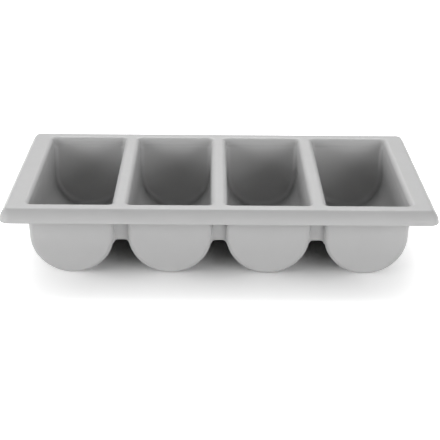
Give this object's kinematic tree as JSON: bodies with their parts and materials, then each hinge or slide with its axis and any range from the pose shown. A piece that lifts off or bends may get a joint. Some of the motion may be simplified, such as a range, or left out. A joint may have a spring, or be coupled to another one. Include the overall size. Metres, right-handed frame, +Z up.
{
  "type": "cutlery box",
  "caption": "Moulded grey cutlery box: a flat rim with a turned-down apron carries a row of round-bottomed troughs that hold sorted cutlery on a table or in a counter cut-out.",
  "frame": {"origin": "middle of the footprint, on the table that the trough floors rest on", "axes": "+X along the row of troughs, -Y towards the front, +Z up"},
  "size_m": [0.53, 0.325, 0.098],
  "materials": {
    "polypropylene": "fine moulded satin"
  },
  "bodies": {
    "root": {"land_front_1": "polypropylene", "land_front_2": "polypropylene", "land_front_3": "polypropylene", "land_front_4": "polypropylene", "land_back_1": "polypropylene", "land_back_2": "polypropylene", "land_back_3": "polypropylene", "land_back_4": "polypropylene", "land_left": "polypropylene", "land_right": "polypropylene", "rim_apron": "polypropylene", "divider_1": "polypropylene", "divider_2": "polypropylene", "divider_3": "polypropylene", "trough_1": "polypropylene", "trough_2": "polypropylene", "trough_3": "polypropylene", "trough_4": "polypropylene", "web_front_1": "polypropylene", "web_front_2": "polypropylene", "web_front_3": "polypropylene", "web_back_1": "polypropylene", "web_back_2": "polypropylene", "web_back_3": "polypropylene"}
  },
  "joints": []
}
